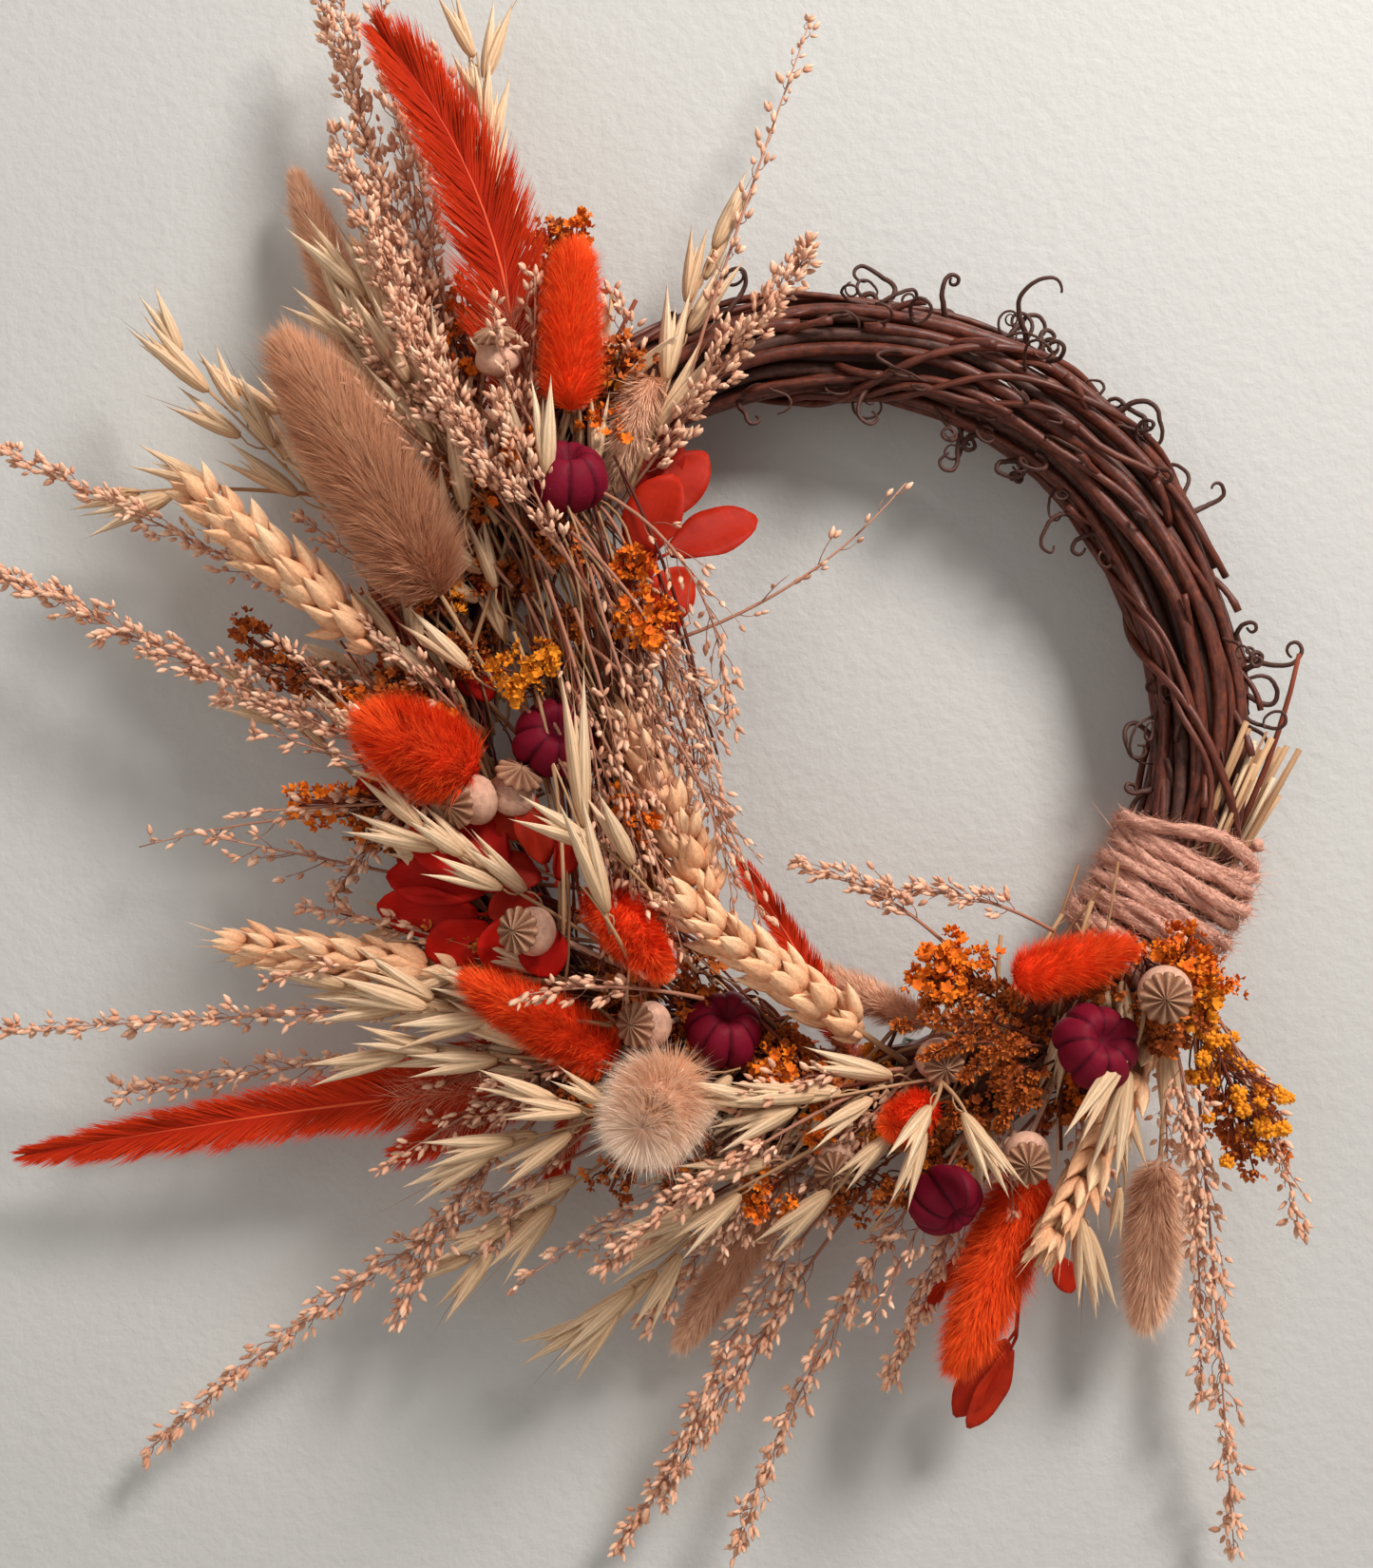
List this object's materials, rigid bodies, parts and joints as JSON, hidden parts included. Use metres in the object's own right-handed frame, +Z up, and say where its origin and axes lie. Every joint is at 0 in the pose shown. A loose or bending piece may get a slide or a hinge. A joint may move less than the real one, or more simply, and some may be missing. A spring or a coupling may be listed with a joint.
{
  "type": "harvest door wreath",
  "caption": "Round vine door wreath dressed down one side with dried grasses, ears, bunny tails, pods, leaves and feathers, and bound with yarn.",
  "frame": {"origin": "the hang point: the inside of the vine ring's top, in the middle of the vine bundle, where a hook or nail carries the wreath", "axes": "+Z up, +X to the right of someone facing the wreath, +Y towards the door; the ring lies in the XZ plane and its face looks along -Y"},
  "size_m": [0.3938, 0.0808, 0.4569],
  "materials": {
    "vine": "satin",
    "yarn": "matte",
    "wire": "satin",
    "orange_bunny": "matte",
    "natural_bunny": "matte",
    "ear": "matte",
    "panicle": "matte",
    "oats": "matte",
    "feather": "matte",
    "leaves": "satin",
    "pod": "matte",
    "poppy": "matte",
    "flowers": "matte",
    "button_flowers": "matte",
    "goldenrod": "matte",
    "straws": "matte"
  },
  "bodies": {
    "root": {"binding_cane": "vine", "button_flowers": "button_flowers", "core_cane": "vine", "feather_1": "feather", "feather_2": "feather", "feather_3": "feather", "florist_wire": "wire", "goldenrod": "goldenrod", "grass_panicle_1": "panicle", "grass_panicle_2": "panicle", "grass_panicle_3": "panicle", "grass_panicle_4": "panicle", "grass_panicle_5": "panicle", "grass_panicle_6": "panicle", "grass_panicle_7": "panicle", "grass_panicle_8": "panicle", "leaf_sprig_1": "leaves", "leaf_sprig_2": "leaves", "leaf_sprig_3": "leaves", "mini_pumpkin_1": "pod", "mini_pumpkin_2": "pod", "mini_pumpkin_3": "pod", "mini_pumpkin_4": "pod", "mini_pumpkin_5": "pod", "natural_bunny_tail_1": "natural_bunny", "natural_bunny_tail_2": "natural_bunny", "natural_bunny_tail_3": "natural_bunny", "natural_bunny_tail_4": "natural_bunny", "natural_bunny_tail_5": "natural_bunny", "natural_bunny_tail_6": "natural_bunny", "oat_spray_1": "oats", "oat_spray_2": "oats", "oat_spray_3": "oats", "oat_spray_4": "oats", "oat_spray_5": "oats", "orange_bunny_tail_1": "orange_bunny", "orange_bunny_tail_2": "orange_bunny", "orange_bunny_tail_3": "orange_bunny", "orange_bunny_tail_4": "orange_bunny", "orange_bunny_tail_5": "orange_bunny", "orange_bunny_tail_6": "orange_bunny", "poppy_head_1": "poppy", "poppy_head_2": "poppy", "poppy_head_3": "poppy", "poppy_head_4": "poppy", "statice_1": "flowers", "statice_2": "flowers", "straw_ends": "straws", "vine_cane_1": "vine", "vine_cane_2": "vine", "vine_cane_3": "vine", "vine_cane_4": "vine", "vine_cane_5": "vine", "wheat_ear_1": "ear", "wheat_ear_2": "ear", "wheat_ear_3": "ear", "wheat_ear_4": "ear", "wheat_ear_5": "ear", "yarn_wrap": "yarn"}
  },
  "joints": []
}
